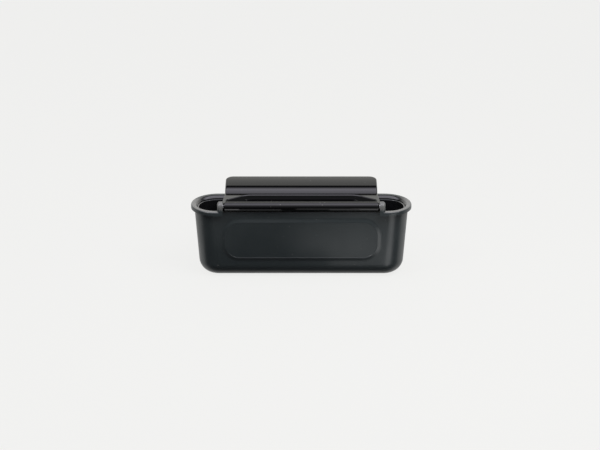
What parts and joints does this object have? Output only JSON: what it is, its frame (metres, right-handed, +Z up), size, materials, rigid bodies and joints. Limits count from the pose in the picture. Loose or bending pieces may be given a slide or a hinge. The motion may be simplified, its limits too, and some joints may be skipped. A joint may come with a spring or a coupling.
{
  "type": "trash compactor deodoriser cup",
  "caption": "Oblong black plastic cup with a flanged, rebated mouth and a hinged pan-shaped flap with a lifting tab that leaves a vent at each end; holds a deodoriser in a trash compactor.",
  "frame": {"origin": "centre of the flat bottom face that the cup stands on", "axes": "+Z up out of the mouth, +X along the long side, -Y towards the front wall with the raised panel and the hinge"},
  "size_m": [0.1058, 0.0372, 0.0398],
  "materials": {
    "cup_plastic": "fine matte black moulded plastic",
    "flap_plastic": "glossy black moulded plastic",
    "pin_steel": "drawn steel wire"
  },
  "bodies": {
    "cup_body": {"cup": "cup_plastic", "hinge_pin": "pin_steel"},
    "flap_body": {"flap": "flap_plastic"}
  },
  "joints": [
    {"name": "flap_hinge", "type": "hinge", "parent": "cup_body", "child": "flap_body", "pos_m": [0, -0.0109, 0.037], "axis": [1, 0, 0], "range_deg": [0, 180]}
  ]
}
